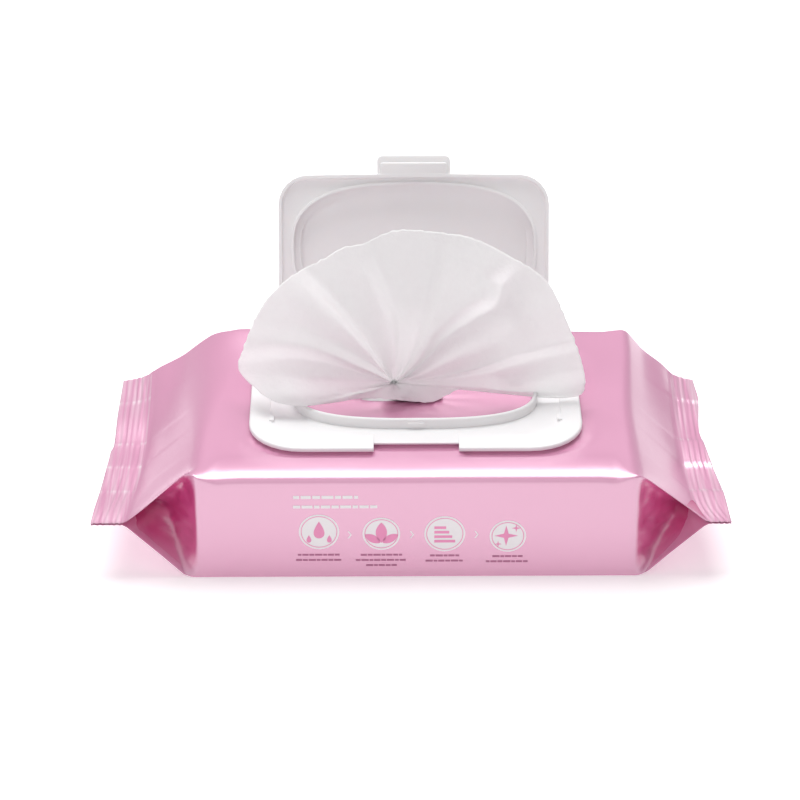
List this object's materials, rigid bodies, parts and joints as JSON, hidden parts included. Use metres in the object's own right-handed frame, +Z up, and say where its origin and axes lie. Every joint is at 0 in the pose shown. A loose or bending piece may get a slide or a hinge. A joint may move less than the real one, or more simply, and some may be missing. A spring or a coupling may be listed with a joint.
{
  "type": "wet wipes pack",
  "caption": "Soft pink film pack of wet wipes with crimped ends, a white snap-shut dispensing lid standing open, and a wipe pulled out.",
  "frame": {"origin": "on the flat underside, below the middle of the dispensing ring", "axes": "+X along the pack from fin to fin, +Y from the front panel to the back, +Z up"},
  "size_m": [0.2309, 0.1207, 0.1138],
  "materials": {
    "pearl_film": "satin pearl",
    "nonwoven": "soft nonwoven",
    "glue": "soft",
    "cap_plastic": "satin moulded"
  },
  "bodies": {
    "pack": {"film_pouch": "pearl_film", "wipe_stack": "nonwoven", "pulled_wipe": "nonwoven", "cap_adhesive": "glue", "cap_base": "cap_plastic"},
    "lid": {"lid": "cap_plastic"}
  },
  "joints": [
    {"name": "lid_hinge", "type": "hinge", "parent": "pack", "child": "lid", "pos_m": [0, 0.0371, 0.0461], "axis": [1, 0, 0], "range_deg": [0, 111.5], "deforming": ["pulled_wipe"]}
  ]
}
